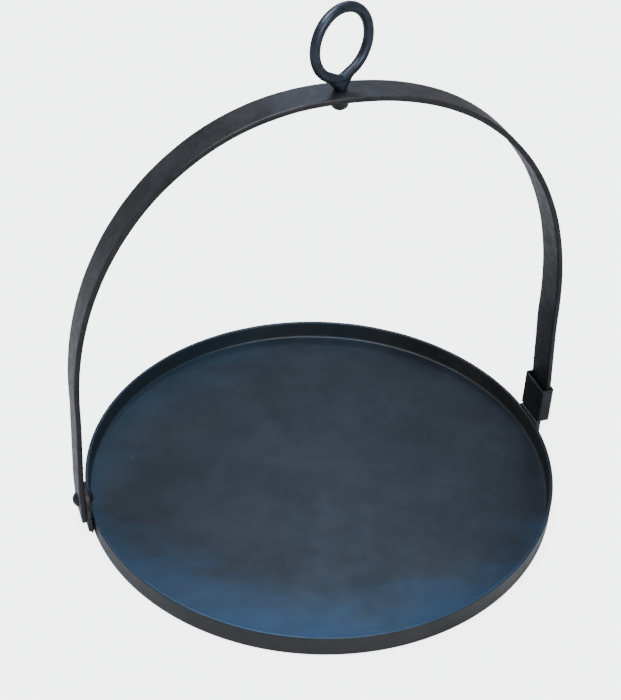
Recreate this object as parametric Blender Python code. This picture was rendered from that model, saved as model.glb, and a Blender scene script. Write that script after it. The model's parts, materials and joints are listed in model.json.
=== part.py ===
"""A hanging griddle: a round, low-rimmed steel plate under a strap bail that folds down.

The bail turns on a rivet at each side. Over its right-hand foot slides a collar that holds the
strap against a tab on the rim and so locks the bail upright. A ring swivels in the bail's crown.

Metres, +Z up. The origin is the centre of the plate's underside. +X runs along the bail's folding
axis towards the collar, and +Y is the side the bail folds to.
"""

import math

import bmesh
import bpy
from mathutils import Matrix, Vector

# Driving dimensions
PAN_RADIUS = 0.175
PAN_HEIGHT = 0.0175
SHEET = 0.0025
PAN_CORNER = 0.0022
PAN_FILLET = 0.0016
RIM_EDGE = 0.0007

BAR_WIDTH = 0.0245
BAR_THICKNESS = 0.0035
BAR_EDGE = 0.0005
GAP = 0.0003
OVERCUT = 0.0020

PIVOT_HEIGHT = 0.0264
FOOT_BELOW_PIVOT = 0.0122
LUG_BOTTOM = 0.0040
LUG_WIDTH = 0.0236
WELD_LEG = 0.0022
WELD_TOP = 0.0160

TAB_SHOULDER_HEIGHT = 0.0176
TAB_STEP = 0.0025

# The bail is bent by hand, so it isn't quite even: above their straight feet both legs lean in, and
# each half of the arch is a superellipse of its own from its leg's top to the crown.
FOOT_TOP = 0.0400
LEG_TOP = 0.1080
RIGHT_LEG_REACH = 0.1768
LEFT_LEG_REACH = 0.1755
RIGHT_ROUNDNESS = 2.30
LEFT_ROUNDNESS = 2.09
CROWN_OFFSET = -0.0032
CROWN_HEIGHT = 0.3140
HALF_ARCH_STEPS = 48

RIVET_SHANK = 0.0030
RIVET_HEAD = 0.0057
RIVET_HEAD_HEIGHT = 0.0036
TURNING_CLEARANCE = 0.00008
RIVET_FLUSH = 0.0002

COLLAR_BOTTOM = 0.0182
COLLAR_HEIGHT = 0.0300
COLLAR_SHEET = 0.0014
COLLAR_SIDE_CLEARANCE = 0.0007
COLLAR_FACE_CLEARANCE = 0.0002
COLLAR_CORNER = 0.0020

RING_OFFSET = 0.0044
RING_RADIUS = 0.0220
RING_BAR = 0.0034
RING_HEIGHT = 0.3482
RING_TURN = math.radians(22.7)
NECK_BASE = 0.0044
NECK_TOP = 0.0092
NECK_FLARE = 0.0050
NECK_THINNING = 0.42
SWIVEL_SHANK = 0.0028
SWIVEL_HEAD = 0.0058
SWIVEL_HEAD_HEIGHT = 0.0094
SWIVEL_DOME = 0.0036
SWIVEL_EDGE = 0.0007

LUG_INSIDE = PAN_RADIUS + GAP
LUG_OUTSIDE = LUG_INSIDE + BAR_THICKNESS
LEFT_INSIDE = LUG_OUTSIDE + GAP
LEFT_OUTSIDE = LEFT_INSIDE + BAR_THICKNESS
TAB_OUTSIDE = LUG_OUTSIDE + TAB_STEP
RIGHT_INSIDE = TAB_OUTSIDE + GAP
RIGHT_OUTSIDE = RIGHT_INSIDE + BAR_THICKNESS
COLLAR_CENTRE = (LUG_INSIDE + TAB_STEP + RIGHT_OUTSIDE) / 2
CROWN_TOP = CROWN_HEIGHT + BAR_THICKNESS
SWIVEL_TOP = CROWN_TOP + GAP

# Each finish is a colour, a roughness and a metallic value.
PLATE_STEEL = ((0.030, 0.044, 0.060), 0.42, 0.85)
BAR_STEEL = ((0.042, 0.038, 0.042), 0.46, 0.85)
RING_STEEL = ((0.046, 0.052, 0.062), 0.40, 0.85)
WELD_STEEL = ((0.040, 0.042, 0.044), 0.55, 0.80)

SMOOTH_ANGLE = math.radians(40)


def clear_scene():
    for item in list(bpy.data.objects):
        bpy.data.objects.remove(item, do_unlink=True)


def make_material(name, finish):
    colour, roughness, metallic = finish
    material = bpy.data.materials.new(name)
    material.use_nodes = True
    shader = material.node_tree.nodes["Principled BSDF"]
    shader.inputs["Base Color"].default_value = (*colour, 1.0)
    shader.inputs["Roughness"].default_value = roughness
    shader.inputs["Metallic"].default_value = metallic
    return material


def make_object(name, bm, finish, parent=None):
    """Turns a bmesh in world coordinates into a named piece, with its origin on its parent's."""
    bmesh.ops.recalc_face_normals(bm, faces=bm.faces)
    origin = parent.location if parent else Vector((0, 0, 0))
    bmesh.ops.translate(bm, verts=bm.verts, vec=-origin)
    mesh = bpy.data.meshes.new(name)
    bm.to_mesh(mesh)
    bm.free()
    mesh.shade_smooth()
    mesh.set_sharp_from_angle(angle=SMOOTH_ANGLE)
    piece = bpy.data.objects.new(name, mesh)
    piece.data.materials.append(make_material(name + "_steel", finish))
    piece.parent = parent
    bpy.context.scene.collection.objects.link(piece)
    return piece


def make_axis(name, location, parent=None):
    """An empty on a joint's axis. It carries the pieces that move about or along it."""
    axis = bpy.data.objects.new(name, None)
    bpy.context.scene.collection.objects.link(axis)
    axis.location = location
    if parent:
        axis.parent = parent
        axis.matrix_parent_inverse = Matrix.Translation(-parent.location)
    return axis


def arc(centre, radius, start, end, steps):
    """Points of an arc in a plane, in degrees, both ends included."""
    angles = [math.radians(start + (end - start) * i / steps) for i in range(steps + 1)]
    return [(centre[0] + radius * math.cos(a), centre[1] + radius * math.sin(a)) for a in angles]


def turn_profile(points, matrix, steps):
    """A closed solid of revolution about Z from (radius, height) points, moved by a matrix."""
    bm = bmesh.new()
    verts = [bm.verts.new((max(r, 0.0), 0, z)) for r, z in points]
    edges = [bm.edges.new(pair) for pair in zip(verts, verts[1:])]
    bmesh.ops.spin(
        bm, geom=verts + edges, cent=(0, 0, 0), axis=(0, 0, 1), angle=math.tau, steps=steps,
        use_merge=True,
    )
    bmesh.ops.remove_doubles(bm, verts=bm.verts, dist=1e-6)
    bmesh.ops.transform(bm, matrix=matrix, verts=bm.verts)
    return bm


def extrude_outline(points, thickness, matrix):
    """A slab from an outline in the XY plane, grown along +Z and moved by a matrix."""
    bm = bmesh.new()
    face = bm.faces.new([bm.verts.new((x, y, 0)) for x, y in points])
    grown = bmesh.ops.extrude_face_region(bm, geom=[face])
    top = [v for v in grown["geom"] if isinstance(v, bmesh.types.BMVert)]
    bmesh.ops.translate(bm, verts=top, vec=(0, 0, thickness))
    bmesh.ops.transform(bm, matrix=matrix, verts=bm.verts)
    return bm


def bevel_edges(bm, edges, width):
    bmesh.ops.bevel(
        bm, geom=edges, offset=width, offset_type="OFFSET", segments=2, profile=0.5,
        affect="EDGES", material=-1,
    )


def rim_edges(bm, axis):
    """The edges round a slab's two flat faces, whose normal is the given axis."""
    return [
        e for e in bm.edges
        if len(e.link_faces) == 2
        and sum(abs(f.normal[axis]) > 0.99 for f in e.link_faces) == 1
    ]


def standing(x, turned=False):
    """Stands an outline drawn in (width, height) on edge at x, thick along +X or, turned, -X."""
    side = -1 if turned else 1
    columns = Matrix(((0, 0, side), (side, 0, 0), (0, 1, 0))).to_4x4()
    return Matrix.Translation((x, 0, 0)) @ columns


def cut(piece, cutter):
    """Cuts one object from another with a Boolean, and hides the cutter."""
    cutter.hide_render = True
    cutter.display_type = "WIRE"
    boolean = piece.modifiers.new("hole_" + cutter.name, "BOOLEAN")
    boolean.operation = "DIFFERENCE"
    boolean.object = cutter


def cutter_rod(name, radius, start, end, direction):
    """A round cutter along X about the folding axis, or along Z about the swivel's axis."""
    turn = Matrix.Rotation(math.radians(90), 4, "Y") if direction == "X" else Matrix()
    along = Vector((1, 0, 0)) if direction == "X" else Vector((0, 0, 1))
    length = end - start
    profile = [(0, length), (radius, length), (radius, 0), (0, 0)]
    base = Vector((0, 0, PIVOT_HEIGHT)) if direction == "X" else Vector((RING_OFFSET, 0, 0))
    bm = turn_profile(profile, Matrix.Translation(base + along * start) @ turn, 32)
    return make_object(name, bm, BAR_STEEL)


def make_plate():
    """The plate and its rim, pressed in one from a disc of sheet."""
    inner = PAN_RADIUS - SHEET
    fillet = (inner - PAN_FILLET, SHEET + PAN_FILLET)
    corner = (PAN_RADIUS - PAN_CORNER, PAN_CORNER)
    profile = [(0, SHEET)]
    profile += arc(fillet, PAN_FILLET, 270, 360, 4)
    profile += arc((inner + RIM_EDGE, PAN_HEIGHT - RIM_EDGE), RIM_EDGE, 180, 90, 2)
    profile += arc((PAN_RADIUS - RIM_EDGE, PAN_HEIGHT - RIM_EDGE), RIM_EDGE, 90, 0, 2)
    profile += arc(corner, PAN_CORNER, 0, -90, 4)
    profile += [(0, 0)]
    return make_object("griddle_pan", turn_profile(profile, Matrix(), 144), PLATE_STEEL)


def make_tab(name, x, thickness, turned):
    """A tab on the outside of the rim, with square feet and a round top about the folding axis."""
    half = LUG_WIDTH / 2
    outline = [(-half, LUG_BOTTOM), (half, LUG_BOTTOM)] + arc((0, PIVOT_HEIGHT), half, 0, 180, 16)
    bm = extrude_outline(outline, thickness, standing(x, turned))
    bm.normal_update()
    bevel_edges(bm, rim_edges(bm, 0), BAR_EDGE)
    return make_object(name, bm, BAR_STEEL)


def make_tabs():
    """The left pivot lug, and the right lock tab with the shoulder that the collar rests on."""
    lug = make_tab("left_pivot_lug", -LUG_INSIDE, BAR_THICKNESS, True)
    tab = make_tab("right_lock_tab", LUG_INSIDE, BAR_THICKNESS + TAB_STEP, False)
    start, top = LUG_INSIDE - OVERCUT, PIVOT_HEIGHT + LUG_WIDTH
    size = (LUG_INSIDE + TAB_STEP - start, 2 * LUG_WIDTH, top - TAB_SHOULDER_HEIGHT)
    bm = bmesh.new()
    bmesh.ops.create_cube(bm, size=1)
    bmesh.ops.scale(bm, vec=size, verts=bm.verts)
    centre = (start + size[0] / 2, 0, (top + TAB_SHOULDER_HEIGHT) / 2)
    bmesh.ops.translate(bm, vec=centre, verts=bm.verts)
    cut(tab, make_object("shoulder_cutter", bm, BAR_STEEL))
    return lug, tab


def make_welds():
    """Four fillets of weld, up the front and back edges of each tab where they meet the rim."""
    outline = [(0, 0)] + arc((0, 0), WELD_LEG, 0, 90, 6)
    y = LUG_WIDTH / 2 + GAP
    for tab, side in (("left_lug", -1), ("right_tab", 1)):
        for end, front in (("front", -1), ("back", 1)):
            bm = extrude_outline(outline, WELD_TOP - LUG_BOTTOM, Matrix())
            place = Matrix.Diagonal((side, front, 1, 1))
            place.translation = (side * LUG_INSIDE, front * y, LUG_BOTTOM)
            bmesh.ops.transform(bm, matrix=place, verts=bm.verts)
            make_object(f"{tab}_weld_{end}", bm, WELD_STEEL)


def half_arch(reach, roundness):
    """The inner face's line from the top of a leg, reach from the middle, up to the crown."""
    power = 2 / roundness
    line = []
    for i in range(HALF_ARCH_STEPS + 1):
        angle = math.pi / 2 * i / HALF_ARCH_STEPS
        x = CROWN_OFFSET + (reach - CROWN_OFFSET) * math.cos(angle) ** power
        line.append((x, LEG_TOP + (CROWN_HEIGHT - LEG_TOP) * math.sin(angle) ** power))
    return line


def bail_path():
    """The inner face's line from the right foot over the crown to the left foot, and normals."""
    right_foot, left_foot = COLLAR_BOTTOM + GAP, PIVOT_HEIGHT - FOOT_BELOW_PIVOT
    right = [(RIGHT_INSIDE, right_foot), (RIGHT_INSIDE, FOOT_TOP)]
    left = [(-LEFT_INSIDE, FOOT_TOP), (-LEFT_INSIDE, left_foot)]
    climb = half_arch(RIGHT_LEG_REACH, RIGHT_ROUNDNESS)
    fall = half_arch(-LEFT_LEG_REACH, LEFT_ROUNDNESS)[-2::-1]
    line = right + climb + fall + left
    points = [Vector((x, 0, z)) for x, z in line]
    normals = []
    for i, _ in enumerate(points):
        along = points[min(i + 1, len(points) - 1)] - points[max(i - 1, 0)]
        normals.append(Vector((along.z, 0, -along.x)).normalized())
    return points, normals


def make_bail(axis):
    """The bail: one length of flat bar bent into an arch, its long edges a little eased."""
    points, normals = bail_path()
    half, ease = BAR_WIDTH / 2, BAR_EDGE
    section = [
        (-half + ease, 0), (half - ease, 0), (half, ease), (half, BAR_THICKNESS - ease),
        (half - ease, BAR_THICKNESS), (-half + ease, BAR_THICKNESS),
        (-half, BAR_THICKNESS - ease), (-half, ease),
    ]
    bm = bmesh.new()
    loops = []
    for point, normal in zip(points, normals):
        loops.append([bm.verts.new(point + normal * out + Vector((0, y, 0))) for y, out in section])
    for first, second in zip(loops, loops[1:]):
        for i, vert in enumerate(first):
            after = (i + 1) % len(section)
            bm.faces.new((vert, first[after], second[after], second[i]))
    bm.faces.new(loops[0])
    bm.faces.new(reversed(loops[-1]))
    return make_object("bail_strap", bm, BAR_STEEL, axis)


def drill(strap, lug, tab):
    """The pivot holes through the strap and its tabs, and the swivel's hole in the crown."""
    pivot, swivel = RIVET_SHANK + TURNING_CLEARANCE, SWIVEL_SHANK + TURNING_CLEARANCE
    near = LUG_INSIDE - OVERCUT
    left = cutter_rod("left_hole", pivot, -LEFT_OUTSIDE - OVERCUT, -near, "X")
    right = cutter_rod("right_hole", pivot, near, RIGHT_OUTSIDE + OVERCUT, "X")
    crown = cutter_rod("crown_hole", swivel, CROWN_HEIGHT - OVERCUT, CROWN_TOP + OVERCUT, "Z")
    for hole in (left, right, crown):
        cut(strap, hole)
    cut(lug, left)
    cut(tab, right)


def dome(radius, height, steps=6):
    """Profile points of a round head from its edge up to its top, at height."""
    sphere = (radius ** 2 + height ** 2) / (2 * height)
    low = math.degrees(math.asin((sphere - height) / sphere))
    return arc((0, height - sphere), sphere, 90, low, steps)


def make_left_rivet():
    """The left pivot: a shank through lug and strap, with a round head outside and inside."""
    inside = LUG_INSIDE - GAP
    outside = LEFT_OUTSIDE + GAP
    head = dome(RIVET_HEAD, RIVET_HEAD_HEIGHT)
    profile = [(r, outside - inside + z) for r, z in head]
    profile += [(RIVET_SHANK, outside - inside), (RIVET_SHANK, 0)]
    profile += [(r, -z) for r, z in reversed(head)]
    place = Matrix.Translation((-inside, 0, PIVOT_HEIGHT)) @ Matrix.Rotation(-math.pi / 2, 4, "Y")
    make_object("left_pivot_rivet", turn_profile(profile, place, 32), BAR_STEEL)


def make_right_rivet():
    """The right pivot: headless and flush with the bar, so that the collar slides over it."""
    start, end = LUG_INSIDE + TAB_STEP + RIVET_FLUSH, RIGHT_OUTSIDE - RIVET_FLUSH
    profile = [(0, end - start), (RIVET_SHANK, end - start), (RIVET_SHANK, 0), (0, 0)]
    place = Matrix.Translation((start, 0, PIVOT_HEIGHT)) @ Matrix.Rotation(math.pi / 2, 4, "Y")
    make_object("right_pivot_rivet", turn_profile(profile, place, 32), BAR_STEEL)


def rounded_rectangle(width, depth, corner, steps=4):
    """An outline in the XY plane, centred, with rounded corners."""
    points = []
    for i, (sx, sy) in enumerate(((1, 1), (-1, 1), (-1, -1), (1, -1))):
        centre = (sx * (width / 2 - corner), sy * (depth / 2 - corner))
        points += arc(centre, corner, 90 * i, 90 * i + 90, steps)
    return points


def make_collar(axis):
    """The locking collar: sheet bent round the strap and the tab into a closed sleeve."""
    inside = (
        RIGHT_OUTSIDE - LUG_INSIDE - TAB_STEP + 2 * COLLAR_FACE_CLEARANCE,
        BAR_WIDTH + 2 * COLLAR_SIDE_CLEARANCE,
    )
    outside = [size + 2 * COLLAR_SHEET for size in inside]
    bm = bmesh.new()
    rings = []
    for z in (0, COLLAR_HEIGHT):
        for size, corner in (
            (outside, COLLAR_CORNER), (inside, COLLAR_CORNER - COLLAR_SHEET),
        ):
            rings.append(
                [bm.verts.new((x, y, z)) for x, y in rounded_rectangle(*size, corner)]
            )
    low_out, low_in, high_out, high_in = rings
    count = len(low_out)
    for first, second in (
        (low_out, high_out), (high_out, high_in), (high_in, low_in), (low_in, low_out),
    ):
        for i in range(count):
            after = (i + 1) % count
            bm.faces.new((first[i], first[after], second[after], second[i]))
    centre = (COLLAR_CENTRE, 0, COLLAR_BOTTOM)
    bmesh.ops.translate(bm, verts=bm.verts, vec=centre)
    return make_object("locking_collar", bm, BAR_STEEL, axis)


def make_swivel(axis):
    """The swivel rivet: a long round-ended head under the crown and a shank up through it."""
    under = CROWN_HEIGHT - GAP
    straight = SWIVEL_HEAD_HEIGHT - SWIVEL_DOME
    head = dome(SWIVEL_HEAD, SWIVEL_DOME)
    profile = [(0, SWIVEL_TOP), (SWIVEL_SHANK, SWIVEL_TOP), (SWIVEL_SHANK, under)]
    profile += [(SWIVEL_HEAD - SWIVEL_EDGE, under), (SWIVEL_HEAD, under - SWIVEL_EDGE)]
    profile += [(r, under - straight - z) for r, z in reversed(head)]
    place = Matrix.Translation((RING_OFFSET, 0, 0))
    make_object("swivel_rivet", turn_profile(profile, place, 32), RING_STEEL, axis)


def make_ring(axis):
    """The hanging ring: round bar bent to a circle, with the neck that joins it to its rivet."""
    bm = bmesh.new()
    section = bmesh.ops.create_circle(bm, cap_ends=False, radius=RING_BAR, segments=16)["verts"]
    bmesh.ops.translate(bm, verts=section, vec=(RING_RADIUS, 0, 0))
    bmesh.ops.spin(
        bm, geom=section + list(bm.edges), cent=(0, 0, 0), axis=(0, 1, 0), angle=math.tau,
        steps=56, use_merge=True,
    )
    bmesh.ops.remove_doubles(bm, verts=bm.verts, dist=1e-6)
    place = Matrix.Translation((RING_OFFSET, 0, RING_HEIGHT)) @ Matrix.Rotation(RING_TURN, 4, "Z")
    bmesh.ops.transform(bm, matrix=place, verts=bm.verts)
    ring = make_object("hanging_ring", bm, RING_STEEL, axis)

    low, high = SWIVEL_TOP + GAP, RING_HEIGHT - RING_RADIUS
    profile = [(0, high), (NECK_TOP, high), (NECK_TOP, low + NECK_FLARE)]
    profile += [(NECK_BASE, low + GAP), (NECK_BASE - GAP, low), (0, low)]
    bm = turn_profile(profile, Matrix(), 32)
    for vert in bm.verts:
        flared = max(0.0, math.hypot(*vert.co.xy) - NECK_BASE) / (NECK_TOP - NECK_BASE)
        vert.co.y *= 1 - (1 - NECK_THINNING) * flared
    stand = Matrix.Translation((RING_OFFSET, 0, 0)) @ Matrix.Rotation(RING_TURN, 4, "Z")
    bmesh.ops.transform(bm, matrix=stand, verts=bm.verts)
    neck = make_object("ring_neck", bm, RING_STEEL, axis)
    neck.hide_render = True
    neck.display_type = "WIRE"
    join = ring.modifiers.new("neck", "BOOLEAN")
    join.operation = "UNION"
    join.object = neck


def main():
    clear_scene()
    make_plate()
    bail_axis = make_axis("bail_axis", (0, 0, PIVOT_HEIGHT))
    collar_axis = make_axis(
        "collar_axis", (COLLAR_CENTRE, 0, COLLAR_BOTTOM), bail_axis,
    )
    ring_axis = make_axis("ring_axis", (RING_OFFSET, 0, RING_HEIGHT), bail_axis)
    lug, tab = make_tabs()
    drill(make_bail(bail_axis), lug, tab)
    make_welds()
    make_left_rivet()
    make_right_rivet()
    make_collar(collar_axis)
    make_swivel(ring_axis)
    make_ring(ring_axis)


main()
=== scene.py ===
"""Looks for a hanging griddle: the pan, its tabs and welds, the bail, the locking collar and the ring."""

import json
import logging
import math
from bisect import bisect_right
from dataclasses import dataclass
from enum import Enum
from itertools import accumulate
from typing import Callable, Optional, Sequence

import bmesh
import bpy
from mathutils import Matrix, Vector, noise

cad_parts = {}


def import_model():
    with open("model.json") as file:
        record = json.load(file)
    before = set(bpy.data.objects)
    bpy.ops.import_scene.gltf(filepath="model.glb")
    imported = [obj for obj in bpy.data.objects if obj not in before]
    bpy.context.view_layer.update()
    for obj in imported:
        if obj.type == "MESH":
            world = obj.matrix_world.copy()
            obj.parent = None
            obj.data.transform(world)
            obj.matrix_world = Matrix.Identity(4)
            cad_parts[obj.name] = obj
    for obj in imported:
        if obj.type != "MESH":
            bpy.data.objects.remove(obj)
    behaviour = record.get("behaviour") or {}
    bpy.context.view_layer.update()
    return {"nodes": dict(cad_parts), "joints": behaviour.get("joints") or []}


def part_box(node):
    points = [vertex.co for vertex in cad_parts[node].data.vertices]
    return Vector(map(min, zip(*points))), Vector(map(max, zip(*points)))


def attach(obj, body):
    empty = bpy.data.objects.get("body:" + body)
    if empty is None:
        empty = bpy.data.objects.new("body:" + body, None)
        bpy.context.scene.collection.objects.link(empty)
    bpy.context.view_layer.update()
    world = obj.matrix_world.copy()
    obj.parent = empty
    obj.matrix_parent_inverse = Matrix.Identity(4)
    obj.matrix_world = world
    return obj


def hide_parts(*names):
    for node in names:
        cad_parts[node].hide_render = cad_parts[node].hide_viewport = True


LOG = logging.getLogger("hanging_griddle")
MM = 0.001
FULL_TURN = math.tau
EASE_ANGLE = 6  # Degrees that a rivet head's dome stops short of its foot.

Point = tuple[float, float]
Triple = tuple[float, float, float]
Colour = Triple
Socket = bpy.types.NodeSocket
Tree = bpy.types.NodeTree
Material = bpy.types.Material
Mesh = bmesh.types.BMesh


class Body(Enum):
    """The rigid bodies that pieces ride on."""

    PAN = "pan"
    BAIL = "bail"
    COLLAR = "collar"
    RING = "ring"


class Slot(Enum):
    """Names of material slots, one listed with each piece."""

    PAN = "pan_steel"
    BAR = "bar_steel"
    COLLAR = "collar_steel"
    RING = "ring_steel"
    RIVET = "rivet_steel"
    WELD = "weld_metal"


class Side(Enum):
    """The two ends of the bail's folding axis."""

    LEFT = -1
    RIGHT = 1


# --- Shared shader node groups ---


class NodeBuilder:
    """A shader node tree, with short ways to add to it."""

    def __init__(self, tree: Tree) -> None:
        """Takes the tree.

        Args:
            tree: A material's, a world's or a group's node tree.
        """
        self.tree = tree

    def add(self, kind: str, links: Optional[dict] = None, **values: object) -> bpy.types.Node:
        """Adds a node, sets it and links its inputs.

        Args:
            kind: The node's type without its ShaderNode prefix.
            links: Input name or index to a socket, a number or a colour.
            **values: Attributes to set on the node.

        Returns:
            The new node.
        """
        node = self.tree.nodes.new("ShaderNode" + kind)
        for name, value in values.items():
            setattr(node, name, value)
        for key, value in (links or {}).items():
            if isinstance(value, Socket):
                self.tree.links.new(value, node.inputs[key])
            else:
                node.inputs[key].default_value = value
        return node

    def math(self, operation: str, *values: object) -> Socket:
        """Calculates with sockets or numbers.

        Args:
            operation: The Math node's operation.
            *values: Its inputs in order.

        Returns:
            The result's socket.
        """
        return self.add("Math", dict(enumerate(values)), operation=operation).outputs[0]

    def over(
        self, base: object, top: Sequence[float], share: object, blend_type: str = "MIX"
    ) -> Socket:
        """Lays a colour over another.

        Args:
            base: The colour beneath.
            top: The colour on top.
            share: How much of it shows.
            blend_type: How the two blend.

        Returns:
            The result's socket.
        """
        links = {0: share, 6: base, 7: (*top, 1)}
        return self.add("Mix", links, data_type="RGBA", blend_type=blend_type).outputs[2]

    def soft_step(
        self, value: Socket, start: object, end: object, falls: bool = False
    ) -> Socket:
        """Makes a soft step between two values.

        Args:
            value: What is compared.
            start: Where the step starts, a socket or a number.
            end: Where it ends.
            falls: Whether it goes from 1 to 0 instead of 0 to 1.

        Returns:
            The step's socket.
        """
        links = {"Value": value, "From Min": start, "From Max": end, "To Min": float(falls),
                 "To Max": float(not falls)}
        return self.add("MapRange", links, interpolation_type="SMOOTHSTEP").outputs[0]

    def noise(self, place: Socket, scale: object, **inputs: object) -> Socket:
        """Makes smooth noise.

        Args:
            place: Where it is read.
            scale: Its scale, a socket or a number.
            **inputs: Its other inputs; W makes it four-dimensional.

        Returns:
            The noise's socket.
        """
        links = {"Vector": place, "Scale": scale, **inputs}
        dimensions = "4D" if "W" in inputs else "3D"
        return self.add("TexNoise", links, noise_dimensions=dimensions).outputs["Fac"]

    def place(self) -> Socket:
        """The point in object coordinates."""
        return self.add("TexCoord").outputs["Object"]


class GroupBuilder(NodeBuilder):
    """A shader node group under construction."""

    def __init__(self, name: str) -> None:
        """Starts an empty group.

        Args:
            name: The group's name in the file.
        """
        super().__init__(bpy.data.node_groups.new(name, "ShaderNodeTree"))
        self.entry = self.tree.nodes.new("NodeGroupInput")
        self.exit = self.tree.nodes.new("NodeGroupOutput")

    def inlet(self, name: str, value: float) -> Socket:
        """Adds a number input.

        Args:
            name: The input's name.
            value: Its default.

        Returns:
            The socket inside the group.
        """
        made = self.tree.interface.new_socket(name, in_out="INPUT", socket_type="NodeSocketFloat")
        made.default_value = value
        return self.entry.outputs[name]

    def outlet(self, name: str, source: Socket) -> None:
        """Adds a number output.

        Args:
            name: The output's name.
            source: The socket that feeds it.
        """
        self.tree.interface.new_socket(name, in_out="OUTPUT", socket_type="NodeSocketFloat")
        self.tree.links.new(source, self.exit.inputs[name])


def cloud_group() -> Tree:
    """Soft uneven clouds, as oil and scale leave on rolled steel.

    Returns:
        A group from Size, Spread and Seed to a Mask of 0 to 1.
    """
    fineness, fine_share = 3.7, 0.35
    group = GroupBuilder("steel_clouds")
    size, spread, seed = group.inlet("Size", 0.03), group.inlet("Spread", 0.5), group.inlet("Seed", 0.0)
    place = group.place()
    scale = group.math("DIVIDE", 1.0, size)
    broad = group.noise(place, scale, W=seed, Detail=3.0, Roughness=0.55, Distortion=0.35)
    fine = group.noise(place, group.math("MULTIPLY", scale, fineness), W=seed, Detail=5.0, Roughness=0.6)
    both = group.add("Mix", {0: fine_share, 2: broad, 3: fine}).outputs[0]
    half = group.math("MULTIPLY", spread, 0.5)
    low, high = group.math("SUBTRACT", 0.5, half), group.math("ADD", 0.5, half)
    group.outlet("Mask", group.soft_step(both, low, high))
    return group.tree


def edge_wear_group() -> Tree:
    """Bright worn edges, broken up as handling leaves them.

    Returns:
        A group from Start, End, Breakup and Size to a Mask of 0 to 1.
    """
    patch_start, patch_end = 0.38, 0.58
    group = GroupBuilder("edge_wear")
    start, end = group.inlet("Start", 0.52), group.inlet("End", 0.6)
    breakup, size = group.inlet("Breakup", 0.6), group.inlet("Size", 0.006)
    edge = group.soft_step(group.add("NewGeometry").outputs["Pointiness"], start, end)
    patch = group.noise(group.place(), group.math("DIVIDE", 1.0, size), Detail=4.0, Roughness=0.65)
    kept = group.soft_step(patch, patch_start, patch_end)
    held = group.add("Mix", {0: breakup, 2: 1.0, 3: kept}).outputs[0]
    group.outlet("Mask", group.math("MULTIPLY", edge, held))
    return group.tree


def grain_group() -> Tree:
    """The fine grain of mill scale: pits and a light tooth.

    Returns:
        A group from Size and Pits to a Height and a Pit mask.
    """
    pit_spacing, pit_inside, pit_outside, pit_rarity = 0.33, 0.12, 0.26, 0.56
    group = GroupBuilder("scale_grain")
    size, pits = group.inlet("Size", 0.0012), group.inlet("Pits", 0.35)
    place = group.place()
    scale = group.math("DIVIDE", 1.0, size)
    tooth = group.noise(place, scale, Detail=4.0, Roughness=0.7)
    pit_scale = group.math("MULTIPLY", scale, pit_spacing)
    cell = group.add("TexVoronoi", {"Vector": place, "Scale": pit_scale}).outputs["Distance"]
    pit = group.soft_step(cell, pit_inside, pit_outside, falls=True)
    here = group.math("GREATER_THAN", group.noise(place, pit_scale, Detail=1.0), pit_rarity)
    pitted = group.math("MULTIPLY", pit, here)
    group.outlet("Height", group.math("SUBTRACT", tooth, group.math("MULTIPLY", pitted, pits)))
    group.outlet("Pit", pitted)
    return group.tree


def dust_group() -> Tree:
    """A few pale motes of dust.

    Returns:
        A group from Size and Amount to a Mask of 0 to 1.
    """
    mote_inside, mote_outside = 0.03, 0.075
    group = GroupBuilder("dust_motes")
    size, amount = group.inlet("Size", 0.009), group.inlet("Amount", 0.5)
    scale = group.math("DIVIDE", 1.0, size)
    cells = group.add("TexVoronoi", {"Vector": group.place(), "Scale": scale, "Randomness": 1.0})
    mote = group.soft_step(cells.outputs["Distance"], mote_inside, mote_outside, falls=True)
    pick = group.add("SeparateColor", {0: cells.outputs["Color"]}).outputs[0]
    rare = group.math("LESS_THAN", pick, amount)
    group.outlet("Mask", group.math("MULTIPLY", mote, rare))
    return group.tree


def painted_reflection_group() -> Tree:
    """Painted blue reflection on the plate: a crescent that grows with distance from a point across the
    plate.

    Returns:
        A group from X, Y, Start, End and Ragged to a Mask of 0 to 1.
    """
    streak_turn, streaks = 0.2, (12.0, 34.0, 20.0)
    group = GroupBuilder("blue_bloom")
    x, y = group.inlet("X", 0.0), group.inlet("Y", 0.0)
    start, end = group.inlet("Start", 0.1), group.inlet("End", 0.2)
    ragged = group.inlet("Ragged", 0.04)
    place = group.place()
    spot = group.add("CombineXYZ", {0: x, 1: y, 2: 0.0}).outputs[0]
    away = group.add("VectorMath", {0: place, 1: spot}, operation="DISTANCE").outputs["Value"]
    turned = group.add("VectorRotate", {"Vector": place, "Angle": streak_turn}, rotation_type="Z_AXIS")
    drawn_out = group.add("VectorMath", {0: turned.outputs[0], 1: streaks}, operation="MULTIPLY")
    rough = group.noise(drawn_out.outputs[0], 1.0, Detail=5.0, Distortion=0.8)
    shift = group.math("MULTIPLY_ADD", group.math("SUBTRACT", rough, 0.5), ragged, away)
    group.outlet("Mask", group.soft_step(shift, start, end))
    return group.tree


def upward_group() -> Tree:
    """Where a surface faces the sky.

    Returns:
        A group from Start and End, as the normal's rise, to a Mask of 0 to 1.
    """
    group = GroupBuilder("faces_up")
    start, end = group.inlet("Start", 0.5), group.inlet("End", 0.95)
    normal = group.add("TexCoord").outputs["Normal"]
    rise = group.add("SeparateXYZ", {0: normal}).outputs["Z"]
    group.outlet("Mask", group.soft_step(rise, start, end))
    return group.tree


@dataclass(frozen=True)
class SharedGroups:
    """The node groups that every steel finish is mixed from."""

    clouds: Tree
    edges: Tree
    grain: Tree
    dust: Tree
    bloom: Tree
    upward: Tree

    @classmethod
    def make(cls) -> "SharedGroups":
        """Builds each group once."""
        return cls(
            cloud_group(), edge_wear_group(), grain_group(), dust_group(), painted_reflection_group(), upward_group(),
        )


# --- Finishes ---

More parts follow.
